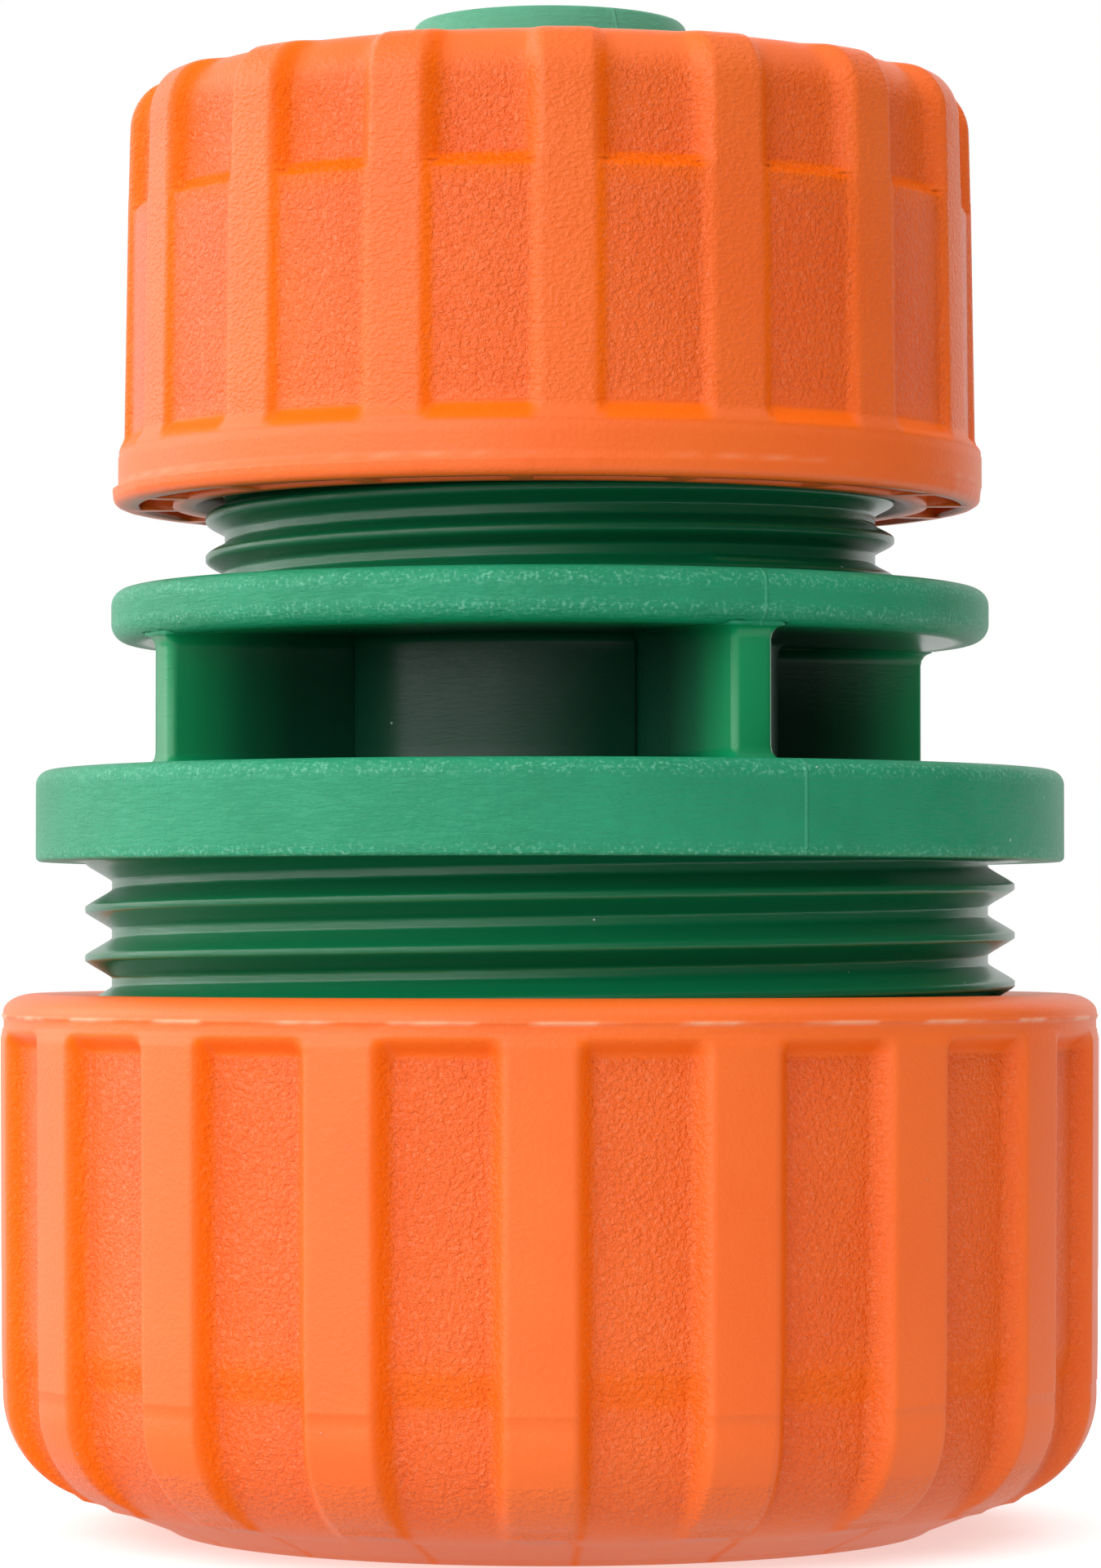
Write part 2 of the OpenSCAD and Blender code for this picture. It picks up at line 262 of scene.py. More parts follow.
def large_nut_mesh():
    h = large_nut_top
    rim = LARGE_RIM_R
    turn, away = rib_columns(LARGE_RIBS, -90.8, LARGE_FACE, LARGE_SIDE, 20.2)
    round_off = bend(0, 0, 1, -90, 0, 9)
    round_off = np.stack([rim - 1.2 + 1.2 * round_off[:, 0], 0.83 + 0.7 * round_off[:, 1]], -1)
    panel = rows_of(
        line((17.75, 0.45), (18.6, 0.13), 3),
        round_off,
        line((rim, 0.83), (rim, 1.02), 4),
        line((rim - 0.03, 1.02), (rim - 0.03, 1.45), 5),
    )
    rib = panel.copy()
    fall = np.linspace(0, 1, 12)[:, None]
    edge = np.concatenate([rim - 0.02 - 0.62 * smooth(fall), 1.45 + 0.75 * fall], -1)
    panel = rows_of(panel, edge, line((19.86, 2.3), (19.8, 12.9), 12))
    rise_out = np.stack([20.52 + 0.06 * smooth(fall[:, 0] * 2), edge[:, 1]], -1)
    rib = rows_of(rib, rise_out, line((20.58, 2.3), (20.52, 12.9), 12))
    step = np.linspace(0, 1, 10)[:, None]
    panel = rows_of(panel, np.concatenate([19.8 - 0.22 * smooth(step), 12.9 + 1.3 * step], -1))
    rib = rows_of(rib, np.concatenate([20.52 - 0.02 * step, 12.9 + 1.3 * step], -1))
    panel = rows_of(panel, line((19.58, 14.3), (19.55, 15.1), 3))
    rib = rows_of(rib, [(20.5, 14.3), (20.5, 14.4), (20.47, 14.44)])
    panel = rows_of(panel, bend(15.35, h - 5.0, 4.2, 0, 76, 24))
    foot = [(17.72, h - 1.32), (17.6, h - 1.25), (17.48, h - 1.23), (17.36, h - 1.27), (17.28, h - 1.32)]
    rib = rows_of(rib, bend(16.5, h - 5.2, 3.97, 0, 72, 19), foot)
    bend_rows = len(panel)
    dome = rows_of(line((16.37, h - 0.93), (14.3, h - 0.12), 8), bend(14.1, h - 0.35, 0.35, 70, 90, 2))
    mouth = rows_of(line((14.0, h), (13.6, h), 2), bend(13.55, h - 0.3, 0.3, 90, 180, 5))
    panel = rows_of(panel, dome, mouth)
    rib = rows_of(rib, dome, mouth)
    rows = len(panel)
    share = np.ones(rows)
    share[bend_rows - 5:bend_rows] = [1.0, 0.98, 0.93, 0.86, 0.75]
    rise = np.stack([rib_rise(away, LARGE_FACE, LARGE_SIDE, s) for s in share])
    radius = panel[:, :1] + (rib[:, :1] - panel[:, :1]) * rise
    height = panel[:, 1:] + (rib[:, 1:] - panel[:, 1:]) * rise
    seam = np.exp(-(((panel[:, 1] - 0.97) / 0.06) ** 2))[:, None]
    radius = radius + seam * (0.015 + np.abs(ripple(turn, 3, (7, 19, 43, 88, 131), 0.03)))[None, :]
    radius = np.where(seam > 0.01, np.minimum(radius, LARGE_SEAM_R), radius)
    inside_r, inside_h = nut_inside(16.45, 1.0, LARGE_PITCH, -1, 13.25, 2.5, h, turn, 0.9)
    ledges = [(1.45, 2.2), (12.9, 14.2)]
    marks = nut_marks(rise, away, panel[:, 1], ledges, 0.6, 2.0, panel[bend_rows, 1], len(inside_r))
    # The flash line is also painted paler, as a painted highlight along the seam.
    broken = smooth(ripple(turn, 21, (9, 26, 61, 97), 1.0) * 0.8 + 0.35)
    marks["flash_painted_highlight"] = np.concatenate([seam * broken[None, :], np.zeros_like(inside_r)])
    wear = marks["worn"]
    wear[bend_rows - 16:bend_rows] = 2 * np.maximum(rise[bend_rows - 16:bend_rows] - 0.5, 0)
    radius = np.concatenate([radius, inside_r])
    height = np.concatenate([height, inside_h])
    marks = {name: values[::-1] for name, values in marks.items()}
    return swept_mesh("large_nut_moulding", radius[::-1], h - height[::-1], turn, marks)


large_nut = large_nut_mesh()
print("large nut:", len(large_nut.data.polygons), "faces")

# %% [markdown]
# The small nut is the same idea with sixteen ribs. Its panels are shallow beside the thread and deeper
# beside the cone, with a sloped ledge between. The rim at the open face stands proud,
# and a small lip below it shows where the mould closed.

# %% Small nut
SMALL_RIBS = 16
SMALL_FACE = 1.75
SMALL_SIDE = 0.6


def small_nut_mesh():
    h = small_nut_top - small_nut_low
    turn, away = rib_columns(SMALL_RIBS, -87.7, SMALL_FACE, SMALL_SIDE, 15.8)
    lip = rows_of(
        line((13.4, -0.17), (15.6, -0.17), 5),
        bend(15.95, 0.18, 0.35, -90, 0, 6),
        line((16.3, 0.2), (16.33, 0.5), 4),
        line((16.25, 0.56), (16.25, 1.55), 5),
        line((16.25, 1.62), (16.18, 1.78), 2),
    )
    lip_rows = 15
    fall = np.linspace(0, 1, 12)[:, None]
    panel = rows_of(lip, np.concatenate([16.22 - 0.47 * smooth(fall), 1.8 + 0.65 * fall], -1))
    rib = rows_of(lip, np.concatenate([16.22 - 0.2 * smooth(fall), 1.8 + 0.65 * fall], -1))
    panel = rows_of(panel, line((15.74, 2.55), (15.68, 10.75), 12))
    rib = rows_of(rib, line((16.02, 2.55), (15.9, 10.75), 12))
    panel = rows_of(panel, np.concatenate([15.68 - 0.5 * smooth(fall), 10.75 + 0.55 * fall], -1))
    rib = rows_of(rib, np.concatenate([15.9 - 0.01 * fall, 10.75 + 0.55 * fall], -1))
    panel = rows_of(panel, line((15.17, 11.4), (15.08, h - 2.05), 6))
    rib = rows_of(rib, line((15.88, 11.4), (15.82, h - 1.95), 6))
    panel = rows_of(panel, bend(15.08 - 1.9, h - 1.97, 1.9, 0, 86, 18))
    rib = rows_of(rib, bend(15.82 - 2.05, h - 2.05, 2.05, 0, 90, 18))
    bend_rows = len(panel)
    top = rows_of(line((13.2, h - 0.04), (9.9, h), 8), bend(9.65, h - 0.3, 0.3, 90, 180, 5))
    panel = rows_of(panel, top)
    rib = rows_of(rib, top)
    rows = len(panel)
    rise = np.stack([rib_rise(away, SMALL_FACE, SMALL_SIDE, 1.0)] * rows)
    rise[bend_rows - 7:bend_rows] *= np.array([0.97, 0.92, 0.82, 0.68, 0.5, 0.32, 0.15])[:, None]
    upper = (panel[:, 1] > 11)[:, None]
    wide = rib_rise(away, SMALL_FACE - 0.1, SMALL_SIDE + 0.3, 1.0)[None, :] * (rise.max(1)[:, None])
    rise = np.where(upper, wide, rise)
    radius = panel[:, :1] + (rib[:, :1] - panel[:, :1]) * rise
    height = panel[:, 1:] + (rib[:, 1:] - panel[:, 1:]) * rise
    rag = np.abs(ripple(turn, 5, (5, 17, 39, 90), 0.03))
    radius[4:lip_rows] = radius[4:lip_rows] + rag - 0.13 * np.cos(turn)
    inside_r, inside_h = nut_inside(12.25, 0.7, SMALL_PITCH, 1, 9.35, 1.6, h, turn, 0.5)
    marks = nut_marks(rise, away, panel[:, 1], [(1.8, 2.45), (10.75, 11.3)], 1.0, 2.4, h - 0.6, len(inside_r))
    seam = np.exp(-(((panel[:, 1] - 0.53) / 0.05) ** 2))[:, None]
    # The flash line is also painted paler, as a painted highlight along the seam.
    broken = smooth(ripple(turn, 23, (8, 21, 57), 1.0) * 0.8 + 0.2)
    marks["flash_painted_highlight"] = np.concatenate([0.6 * seam * broken[None, :], np.zeros_like(inside_r)])
    marks["worn"][:rows] = 0.6 * np.maximum(rise, 0) * smooth((panel[:, 1:] - 2) / 0.5)
    radius = np.concatenate([radius, inside_r])
    height = small_nut_low + np.concatenate([height, inside_h])
    return swept_mesh("small_nut_moulding", radius, height, turn, marks)


small_nut = small_nut_mesh()
print("small nut:", len(small_nut.data.polygons), "faces")

# %% [markdown]
# The body is one moulding. Its half section runs from the tip of the small tail down its rings, up inside
# the collar, over the claws, down the outer thread, over both flanges and the core, and back the same way
# at the large end, and home through the bore. The threads are true right-hand helices: the ridge's height
# at each column is shifted by its share of one pitch. The webs and the slots are joined and cut afterwards,
# because they don't go round.

# %% Body sweep
BODY_COLUMNS = 192
SMALL_FLANGE_R = 16.5
SMALL_COLLAR_R = 12.25
LARGE_COLLAR_R = 16.45
CORE_R = 8.6
SMALL_BORE_R = 4.3
LARGE_BORE_R = 7.5
CREST_SHARE = 0.12
ROOT_SHARE = 0.19
SMALL_CREST_FRONT = 36.62
LARGE_CREST_FRONT = 21.72
PARTING_ANGLE = -62.5


def thread_rows(core, depth, pitch, crest_front, heights, turn, rounding):
    """Radius grid of a right-hand thread whose crest passes the front (-Y) at the height crest_front."""
    lead = (turn + TURN / 4) / TURN * pitch
    phase = ((heights[:, None] - crest_front - lead[None, :]) / pitch + 0.5) % 1 - 0.5
    side = (np.abs(phase) - CREST_SHARE / 2) / (0.5 - CREST_SHARE / 2 - ROOT_SHARE / 2)
    sharp = 1 - np.clip(side, 0, 1)
    return core + depth * ((1 - rounding) * sharp + rounding * smooth(sharp))


def tail_path(face, way, crest, tip, length, lead, pitch):
    """Half section down a ringed tail from its tip to the flange; way is 1 upwards and -1 downwards."""
    root = crest - 0.45
    path = [line((tip - 0.12, length), (tip, length - 0.12), 2)]
    path.append(line((tip, length - 0.12), (crest, length - lead), 6))
    for i in range(4):
        top = length - lead - i * pitch
        path.append(line((crest, top), (crest, top - 1.1), 3))
        path.append(line((crest, top - 1.1), (root, top - 1.25), 2))
        if i < 3:
            path.append(line((root, top - 1.25), (root, top - pitch + 1.6), 2))
            path.append(line((root, top - pitch + 1.6), (crest, top - pitch), 3))
    path.append(line((root, top - 1.25), (root, 0.5), 4))
    path.append(bend(root + 0.5, 0.5, 0.5, 180, 270, 4))
    rows = np.concatenate(path)
    return np.stack([rows[:, 0], face + way * rows[:, 1]], -1)


def collar_inside(face, way, inside, core, tip_z):
    """Half section from the foot of the annular space out to the claws' tips."""
    rows = np.concatenate([
        bend(inside - 0.5, 0.5, 0.5, 270, 360, 4),
        line((inside, 0.5), (inside, tip_z - 1.8), 5),
        line((inside, tip_z - 1.8), (inside - 0.45, tip_z - 0.9), 2),
        line((inside - 0.45, tip_z - 0.9), (inside, tip_z - 0.9), 2),
        line((inside, tip_z - 0.9), (inside - 0.45, tip_z), 2),
        line((inside - 0.45, tip_z), (inside + 0.7, tip_z), 2),
        bend(inside + 0.7, tip_z - 0.25, 0.25, 90, 30, 3),
        line((inside + 0.95, tip_z - 0.4), (core, tip_z - 0.4 - (core - inside - 0.95) / 0.6), 5),
    ])
    return np.stack([rows[:, 0], face + way * rows[:, 1]], -1)


def body_mesh():
    turn = np.linspace(0, TURN, BODY_COLUMNS, endpoint=False)
    flat = np.zeros_like(turn)[None, :]
    stretches = []

    def add(rows):
        stretches.append((rows[:, :1] + flat, rows[:, 1:] + flat))

    small_len = tail_top - small_face
    large_len = large_face - tail_low
    add(tail_path(small_face, 1, 6.6, 5.1, small_len, 3.5, 3.0))
    add(collar_inside(small_face, 1, 9.5, SMALL_COLLAR_R, 15.25))
    hidden = np.linspace(small_face + 11.0, small_nut_low + 0.4, 34, endpoint=False)
    seen = np.linspace(small_nut_low + 0.4, small_face + 0.02, 66)
    heights = np.concatenate([hidden, seen])
    thread = thread_rows(12.22, 0.75, SMALL_PITCH, SMALL_CREST_FRONT, heights, turn, 0.75)
    fade = smooth((heights[0] - heights) / 0.5)[:, None]
    thread = SMALL_COLLAR_R + (thread - SMALL_COLLAR_R) * fade
    past = ((turn - math.radians(PARTING_ANGLE)) % TURN < math.pi).astype(float)
    fill = smooth((small_face + 0.75 - heights) / 0.2)[:, None] * past[None, :]
    thread = np.maximum(thread, SMALL_COLLAR_R + 0.5 * fill)
    stretches.append((thread, heights[:, None] + flat))
    r = SMALL_FLANGE_R
    edge = 0.62
    add(rows_of(
        bend(r - edge, small_face - edge, edge, 90, 0, 9),
        line((r, small_face - edge), (r, small_flange_low + 0.7), 5),
        bend(r - 0.7, small_flange_low + 0.7, 0.7, 0, -90, 9),
        line((r - 0.7, small_flange_low), (9.0, small_flange_low), 10),
        bend(9.0, small_flange_low - 0.4, 0.4, 90, 180, 4),
        line((CORE_R, small_flange_low - 0.4), (CORE_R, large_flange_top + 0.4), 10),
        bend(9.0, large_flange_top + 0.4, 0.4, 180, 270, 4),
        line((9.0, large_flange_top), (large_flange_r - 0.55, large_flange_top), 14),
        bend(large_flange_r - 0.55, large_flange_top - 0.55, 0.55, 90, 0, 8),
        line((large_flange_r, large_flange_top - 0.55), (large_flange_r, large_face + 0.16), 12),
    ))
    r = large_flange_r
    lip = rows_of(
        line((r - 0.02, large_face + 0.16), (r - 0.06, large_face + 0.02), 3),
        line((r - 0.12, large_face), (17.6, large_face), 5),
    )
    rag = ripple(turn, 11, (23, 47, 71, 96), 0.035)[None, :]
    ragged = rag * np.array([1, 1, 0.8, 0.5, 0, 0, 0, 0])[:, None]
    stretches.append((lip[:, :1] + ragged, lip[:, 1:] + flat))
    seen = np.linspace(large_face - 0.03, large_nut_top - 0.4, 84, endpoint=False)
    hidden = np.linspace(large_nut_top - 0.4, large_face - 14.0, 40)
    heights = np.concatenate([seen, hidden])
    thread = thread_rows(LARGE_COLLAR_R, 1.0, LARGE_PITCH, LARGE_CREST_FRONT, heights, turn, 0.15)
    fade = smooth((heights - heights[-1]) / 0.6)[:, None]
    stretches.append((LARGE_COLLAR_R + (thread - LARGE_COLLAR_R) * fade, heights[:, None] + flat))
    add(collar_inside(large_face, -1, 13.4, LARGE_COLLAR_R, 19.75)[::-1])
    add(tail_path(large_face, -1, 9.7, 8.3, large_len, 3.2, 3.6)[::-1])
    add(rows_of(
        line((7.62, tail_low), (LARGE_BORE_R, tail_low + 0.12), 2),
        line((LARGE_BORE_R, tail_low + 0.12), (LARGE_BORE_R, large_face - 1.9), 8),
        line((LARGE_BORE_R, large_face - 1.9), (SMALL_BORE_R, small_face + 1), 10),
        line((SMALL_BORE_R, small_face + 1), (SMALL_BORE_R, tail_top - 0.12), 8),
        line((SMALL_BORE_R, tail_top - 0.12), (4.5, tail_top), 2),
    ))
    radius = np.concatenate([s[0] for s in stretches])
    height = np.concatenate([s[1] for s in stretches])
    return swept_mesh("body_moulding", radius, height, turn)


body = body_mesh()
print("body sweep:", len(body.data.polygons), "faces")

# %% [markdown]
# Four webs tie the flanges together. Each is a plate with rounded edges that spreads a little where it
# meets the flanges, as a mould maker leaves it so that the plastic flows. It is made as a stack of rounded
# outlines and then joined to the body with a boolean, which leaves one sealed skin.

# %% Webs
WEB_T = 1.6
WEB_REACH = 15.9
WEB_ANGLE = 27
WEB_COUNT = 4
WEB_FOOT_R = 6.5
EDGE_R = 0.35


def web_outline(spread):
    """Outline of a web from above, reaching from inside the core to its free end."""
    half = WEB_T / 2 + spread
    reach = WEB_REACH + spread * 0.6
    corner_a = bend(reach - EDGE_R, -half + EDGE_R, EDGE_R, -90, 0, 5)
    corner_b = bend(reach - EDGE_R, half - EDGE_R, EDGE_R, 0, 90, 5)
    side_b = line((reach - EDGE_R, half), (WEB_FOOT_R, half), 8)
    side_a = line((WEB_FOOT_R, -half), (reach - EDGE_R, -half), 8)
    return np.concatenate([side_a, corner_a, corner_b, side_b, [[WEB_FOOT_R, half]]])


def stacked_mesh(name, outlines):
    """Closed solid from outlines at rising heights, given as lists of (x, y, z) in mm."""
    count = len(outlines[0])
    points = np.concatenate(outlines) * MM
    faces = [list(range(count))[::-1], list(range(len(points) - count, len(points)))]
    for level in range(len(outlines) - 1):
        for i in range(count):
            j = (i + 1) % count
            a = level * count
            faces.append([a + i, a + j, a + count + j, a + count + i])
    mesh = bpy.data.meshes.new(name)
    mesh.from_pydata(points.tolist(), [], faces)
    mesh.polygons.foreach_set("use_smooth", [True] * len(mesh.polygons))
    piece = bpy.data.objects.new(name, mesh)
    bpy.context.scene.collection.objects.link(piece)
    return piece


def merge_in(target, tool, operation):
    """Boolean with another sealed mesh, which is then deleted."""
    step = target.modifiers.new("join", "BOOLEAN")
    step.operation = operation
    step.solver = "MANIFOLD"
    step.object = tool
    bpy.context.view_layer.objects.active = target
    with bpy.context.temp_override(object=target, active_object=target):
        bpy.ops.object.modifier_apply(modifier=step.name)
    bpy.data.meshes.remove(tool.data)


def turned(points, degrees):
    t = math.radians(degrees)
    spin = np.array([[math.cos(t), math.sin(t)], [-math.sin(t), math.cos(t)]])
    return points @ spin


levels = np.array([-0.3, 0.0, 0.06, 0.15, 0.3, 0.5])
spreads = np.array([0.42, 0.42, 0.26, 0.14, 0.04, 0.0])
web_levels = np.concatenate([large_flange_top + levels, (small_flange_low - levels)[::-1]])
web_spreads = np.concatenate([spreads, spreads[::-1]])
for k in range(WEB_COUNT):
    outlines = []
    for z, spread in zip(web_levels, web_spreads):
        outline = turned(web_outline(spread), WEB_ANGLE + 360 / WEB_COUNT * k)
        outlines.append(np.column_stack([outline, np.full(len(outline), z)]))
    merge_in(body, stacked_mesh(f"web_{k}", outlines), "UNION")
print("body with webs:", len(body.data.polygons), "faces")

# %% [markdown]
# The slots part the rim of each collar into claws. They are plain cuts and stay inside the nuts.

# %% Claw slots
SLOT_W = 1.3
SMALL_CLAWS = 6
LARGE_CLAWS = 8


def cut_slots(count, inside, outside, low, high):
    for i in range(count):
        half = SLOT_W / 2
        box = np.array([(inside, -half), (outside, -half), (outside, half), (inside, half)])
        box = turned(box, (i + 0.5) * 360 / count)
        ends = [np.column_stack([box, np.full(4, z)]) for z in (low, high)]
        merge_in(body, stacked_mesh(f"slot_{i}", ends), "DIFFERENCE")


cut_slots(SMALL_CLAWS, 8.95, 13.25, small_face + 11.1, small_face + 20)
cut_slots(LARGE_CLAWS, 12.85, 17.45, large_face - 23.5, large_face - 14.3)
print("body with slots:", len(body.data.polygons), "faces")

# %% [markdown]
# The small nut's open face is cored out in sixteen pockets, so that its wall cools evenly.
# Each pocket is a wedge that narrows with depth, so that it leaves the mould.

# %% Pockets in the small nut
POCKET_IN = 14.2
POCKET_OUT = 15.5
POCKET_DEEP = 15.0
POCKET_H = 8.6
POCKET_FIRST = -94 + 11.25
POCKET_LEVELS = [
    (-0.2, POCKET_OUT, 0.8), (0.0, POCKET_OUT, 0.8), (1.8, POCKET_DEEP, 0.9), (POCKET_H, 14.95, 1.1),
]
for k in range(SMALL_RIBS):
    outlines = []
    for depth, outer, wall in POCKET_LEVELS:
        span_in = math.pi / SMALL_RIBS - wall / 2 / POCKET_IN
        span_out = math.pi / SMALL_RIBS - wall / 2 / outer
        t = np.linspace(-1, 1, 7)
        inner_arc = np.stack([POCKET_IN * np.cos(t * span_in), POCKET_IN * np.sin(t * span_in)], -1)
        outer_arc = np.stack([outer * np.cos(t * span_out), outer * np.sin(t * span_out)], -1)
        outline = turned(np.concatenate([outer_arc, inner_arc[::-1]]), POCKET_FIRST + 22.5 * k)
        outlines.append(np.column_stack([outline, np.full(len(outline), small_nut_low + depth)]))
    merge_in(small_nut, stacked_mesh(f"pocket_{k}", outlines), "DIFFERENCE")
print("small nut with pockets:", len(small_nut.data.polygons), "faces")

# %% [markdown]
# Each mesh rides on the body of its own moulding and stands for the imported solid.

# %% Riding and replacing
PIECES = {"body": body, "small_nut": small_nut, "large_nut": large_nut}
for node, piece in PIECES.items():
    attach(piece, node)
    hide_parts(node)
    piece.data.validate()
print("dressed:", ", ".join(piece.name for piece in PIECES.values()))

# %% [markdown]
# One function turns a colour as written on a screen into the linear values that a shader needs,
# and one adds a node with its settings and links.

# %% Helpers for materials
def linear(code):
    values = [int(code[i:i + 2], 16) / 255 for i in (1, 3, 5)]
    return tuple(v / 12.92 if v <= 0.04045 else ((v + 0.055) / 1.055) ** 2.4 for v in values) + (1.0,)


def add_node(tree, kind, settings=None, links=None):
    node = tree.nodes.new(kind)
    for name, value in (settings or {}).items():
        if isinstance(name, str) and hasattr(node, name):
            setattr(node, name, value)
        else:
            node.inputs[name].default_value = value
    for name, source in (links or {}).items():
        tree.links.new(source, node.inputs[name])
    return node


def new_material(name):
    made = bpy.data.materials.new(name)
    made.use_nodes = True
    made.node_tree.nodes.clear()
    return made, made.node_tree


# %% [markdown]
# The nuts are injection-moulded polypropylene, pigmented orange. The plastic is a little translucent; the rib
# sides and ledges are painted a purer orange than the flat faces, a painted glow that stands for the light that
# gets out there.
# The mould was spark-eroded between the ribs, which leaves a grain of less than 0.2 mm; its sparkle is painted
# in as pale glints, and painted shade darkens some of its flecks.
# Sparse pale specks are nicks and lint, and the few dark ones are dirt in the pellets.

# %% Orange polypropylene
CLOUD_MM = 6.0
PAINTED_GLINT_MM = 0.16
SHADE_MM = 0.22
PIT_MM = 0.17
LEATHER_MM = 0.34
WRINKLE_MM = 0.2
SPECK_BEND_MM = 0.25
SPECK_SHIFT_MM = 0.12
NUT_RELIEF_MM = 0.06
PLASTIC_IOR = 1.49


def noise(tree, place, size_mm, detail=2.0, roughness=0.5, stretch=None):
    """Noise whose grains are about size_mm wide."""
    if stretch:
        place = add_node(tree, "ShaderNodeMapping", {"Scale": stretch}, {"Vector": place}).outputs[0]
    settings = {"Scale": 1 / (size_mm * MM), "Detail": detail, "Roughness": roughness}
    return add_node(tree, "ShaderNodeTexNoise", settings, {"Vector": place}).outputs["Fac"]


def maths(tree, operation, a, b, c=None):
    node = tree.nodes.new("ShaderNodeMath")
    node.operation = operation
    for i, value in enumerate((a, b, c)):
        if isinstance(value, (int, float)):
            node.inputs[i].default_value = value
        elif value is not None:
            tree.links.new(value, node.inputs[i])
    return node.outputs[0]


def times(tree, a, b):
    return maths(tree, "MULTIPLY", a, b)


def plus(tree, a, b):
    return maths(tree, "ADD", a, b)


def between(tree, value, low, high, out_low=0.0, out_high=1.0):
    """Value carried from the range low to high onto the range out_low to out_high, and held at its ends."""
    settings = {"From Min": low, "From Max": high, "To Min": out_low, "To Max": out_high}
    return add_node(tree, "ShaderNodeMapRange", settings, {"Value": value}).outputs[0]


def mix_colour(tree, share, a, b):
    """Colour a where share is 0 and colour b where it is 1; either can be fixed or come from a node."""
    node = add_node(tree, "ShaderNodeMix", {"data_type": "RGBA"}, {0: share})
    for i, value in ((6, a), (7, b)):
        if isinstance(value, tuple):
            node.inputs[i].default_value = value
        else:
            tree.links.new(value, node.inputs[i])
    return node.outputs[2]


def specks(tree, place, apart_mm, size_mm, keep):
    """Mask of small marks that lie about apart_mm from each other, of which only a share is kept."""
    settings = {"Scale": 1 / (SPECK_BEND_MM * MM), "Detail": 1.0}
    bent = add_node(tree, "ShaderNodeTexNoise", settings, {"Vector": place}).outputs["Color"]
    settings = {"operation": "SCALE", "Scale": SPECK_SHIFT_MM * MM}
    away = add_node(tree, "ShaderNodeVectorMath", settings, {0: bent}).outputs[0]
    moved = add_node(tree, "ShaderNodeVectorMath", {"operation": "ADD"}, {0: place, 1: away}).outputs[0]
    cells = add_node(tree, "ShaderNodeTexVoronoi", {"Scale": 1 / (apart_mm * MM)}, {"Vector": moved})
    near = between(tree, cells.outputs["Distance"], size_mm / apart_mm, 0.5 * size_mm / apart_mm)
    pick = add_node(tree, "ShaderNodeSeparateXYZ", None, {"Vector": cells.outputs["Color"]}).outputs["X"]
    return times(tree, near, maths(tree, "LESS_THAN", pick, keep))


def orange_polypropylene():
    made, tree = new_material("moulded_polypropylene_orange")
    place = add_node(tree, "ShaderNodeTexCoord").outputs["Object"]
    grain, lamp_and_painted_glow, worn, flash_painted_highlight = [
        add_node(tree, "ShaderNodeAttribute", {"attribute_name": name}).outputs["Fac"]
        for name in ("grain", "lamp_and_painted_glow", "worn", "flash_painted_highlight")
    ]
    cloud = noise(tree, place, CLOUD_MM, 3.0)
    face = mix_colour(tree, between(tree, cloud, 0.35, 0.65), linear("#F8681A"), linear("#FA6E1F"))
    low = mix_colour(tree, between(tree, cloud, 0.35, 0.65), linear("#F6600E"), linear("#F96714"))
    colour = mix_colour(tree, grain, face, low)
    # Painted glow: rib sides and ledges are mixed towards a purer orange, as if lit from within.
    colour = mix_colour(tree, times(tree, lamp_and_painted_glow, 0.9), colour, linear("#FF6C08"))
    pale = specks(tree, place, 1.3, 0.05, 0.22)
    dark = specks(tree, place, 2.7, 0.05, 0.16)
    colour = mix_colour(tree, times(tree, pale, 0.55), colour, linear("#FFC9A8"))
    colour = mix_colour(tree, times(tree, dark, 0.85), colour, linear("#5A1E0C"))
    # Painted highlight: the flash line is mixed towards pale orange.
    colour = mix_colour(tree, times(tree, flash_painted_highlight, 0.6), colour, linear("#FFC7A0"))
    # Painted glints: pale flecks in the grain that stand for its tiny highlights.
    painted_glint = between(tree, noise(tree, place, PAINTED_GLINT_MM, 2.0, 0.7), 0.56, 0.68)
    painted_glint = times(tree, painted_glint, maths(tree, "MULTIPLY_ADD", grain, 0.16, 0.04))
    colour = mix_colour(tree, painted_glint, colour, linear("#FFA878"))
    shade = between(tree, noise(tree, place, SHADE_MM, 3.0, 0.6), 0.46, 0.32)
    shade = times(tree, shade, maths(tree, "MULTIPLY_ADD", grain, 0.12, 0.04))
    colour = mix_colour(tree, shade, colour, linear("#E04A08"))
    pits = between(tree, noise(tree, place, PIT_MM, 2.0, 0.6), 0.4, 0.75)
    leather = noise(tree, place, LEATHER_MM, 3.0, 0.6, (1.0, 1.0, 1.7))
    wrinkle = between(tree, noise(tree, place, WRINKLE_MM, 2.0, 0.5, (1.0, 1.0, 1.5)), 0.4, 0.7)
    relief = times(tree, plus(tree, pits, leather), maths(tree, "MULTIPLY_ADD", grain, 0.85, 0.12))
    relief = plus(tree, relief, times(tree, wrinkle, times(tree, worn, 0.7)))
    relief = plus(tree, relief, times(tree, pale, 0.8))
    settings = {"Strength": 1.0, "Distance": NUT_RELIEF_MM * MM}
    bump = add_node(tree, "ShaderNodeBump", settings, {"Height": relief})
    gloss = between(tree, grain, 0.0, 1.0, 0.41, 0.34)
    gloss = maths(tree, "SUBTRACT", gloss, times(tree, worn, 0.08))
    level = between(tree, lamp_and_painted_glow, 0.0, 1.0, 0.5, 0.06)
    shader = add_node(
        tree, "ShaderNodeBsdfPrincipled", {"IOR": PLASTIC_IOR},
        {
            "Base Color": colour, "Roughness": gloss, "Normal": bump.outputs["Normal"],
            "Specular IOR Level": level,
        },
    )
    add_node(tree, "ShaderNodeOutputMaterial", None, {"Surface": shader.outputs[0]})
    return made


